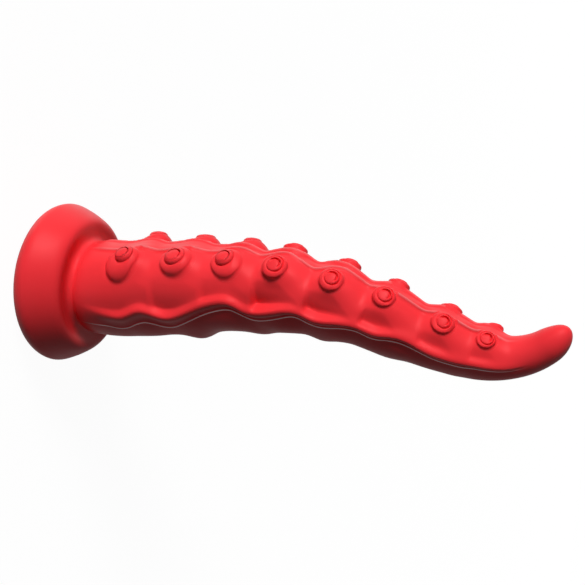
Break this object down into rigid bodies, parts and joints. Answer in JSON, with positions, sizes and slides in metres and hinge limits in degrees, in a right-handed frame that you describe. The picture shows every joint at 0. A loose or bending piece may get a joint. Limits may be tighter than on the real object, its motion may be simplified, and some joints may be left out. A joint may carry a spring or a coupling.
{
  "type": "tentacle dildo",
  "caption": "Adult product: a tapered silicone tentacle with two rows of ringed suckers, a wavy side frill, an upturned blunt tip and a round suction base. Not a kite or a toy for children.",
  "frame": {"origin": "centre of the suction rim, on the surface the base stands on", "axes": "+Z out of the base towards the tip; the suckers face -Y (the ventral side) and the smooth back faces +Y; X runs across, from one row of suckers to the other"},
  "size_m": [0.063, 0.063, 0.2043],
  "materials": {
    "silicone_base": "satin",
    "silicone_body": "satin",
    "silicone_flex": "satin"
  },
  "bodies": {
    "base": {"suction_base": "silicone_base", "neck": "silicone_body"},
    "segment_1": {"flex_web_1": "silicone_flex", "sucker_section_1": "silicone_body"},
    "segment_2": {"flex_web_2": "silicone_flex", "sucker_section_2": "silicone_body"},
    "segment_3": {"flex_web_3": "silicone_flex", "sucker_section_3": "silicone_body"},
    "segment_4": {"flex_web_4": "silicone_flex", "sucker_section_4": "silicone_body"},
    "segment_5": {"flex_web_5": "silicone_flex", "sucker_section_5": "silicone_body"},
    "segment_6": {"flex_web_6": "silicone_flex", "sucker_section_6": "silicone_body"},
    "segment_7": {"flex_web_7": "silicone_flex", "sucker_section_7": "silicone_body"},
    "segment_8": {"flex_web_8": "silicone_flex", "sucker_section_8": "silicone_body"},
    "tip": {"flex_web_9": "silicone_flex", "tip": "silicone_body"}
  },
  "joints": [
    {"name": "curl_1", "type": "hinge", "parent": "base", "child": "segment_1", "pos_m": [0, 0.00065, 0.03099], "axis": [1, 0, 0], "range_deg": [-12, 12], "stiffness_Nm_per_rad": 2.841, "deforming": ["flex_web_1"]},
    {"name": "sway_2", "type": "hinge", "parent": "segment_1", "child": "segment_2", "pos_m": [0, -0.00202, 0.05574], "axis": [0, -0.9931, -0.1172], "range_deg": [-12, 12], "stiffness_Nm_per_rad": 2.407, "deforming": ["flex_web_2"]},
    {"name": "curl_3", "type": "hinge", "parent": "segment_2", "child": "segment_3", "pos_m": [0, -0.00421, 0.07572], "axis": [1, 0, 0], "range_deg": [-14, 14], "stiffness_Nm_per_rad": 1.701, "deforming": ["flex_web_3"]},
    {"name": "sway_4", "type": "hinge", "parent": "segment_3", "child": "segment_4", "pos_m": [0, -0.00528, 0.09378], "axis": [0, -1, -0.009], "range_deg": [-15, 15], "stiffness_Nm_per_rad": 1.198, "deforming": ["flex_web_4"]},
    {"name": "curl_5", "type": "hinge", "parent": "segment_4", "child": "segment_5", "pos_m": [0, -0.00443, 0.11185], "axis": [1, 0, 0], "range_deg": [-16, 16], "stiffness_Nm_per_rad": 0.838, "deforming": ["flex_web_5"]},
    {"name": "sway_6", "type": "hinge", "parent": "segment_5", "child": "segment_6", "pos_m": [0, -0.00121, 0.13005], "axis": [0, -0.9708, 0.24], "range_deg": [-18, 18], "stiffness_Nm_per_rad": 0.578, "deforming": ["flex_web_6"]},
    {"name": "curl_7", "type": "hinge", "parent": "segment_6", "child": "segment_7", "pos_m": [0, 0.00398, 0.14895], "axis": [1, 0, 0], "range_deg": [-20, 20], "stiffness_Nm_per_rad": 0.397, "deforming": ["flex_web_7"]},
    {"name": "sway_8", "type": "hinge", "parent": "segment_7", "child": "segment_8", "pos_m": [0, 0.00844, 0.16752], "axis": [0, -0.981, 0.1938], "range_deg": [-24, 24], "stiffness_Nm_per_rad": 0.256, "deforming": ["flex_web_8"]},
    {"name": "curl_9", "type": "hinge", "parent": "segment_8", "child": "tip", "pos_m": [0, 0.00951, 0.18592], "axis": [1, 0, 0], "range_deg": [-30, 30], "stiffness_Nm_per_rad": 0.08, "deforming": ["flex_web_9"]}
  ]
}
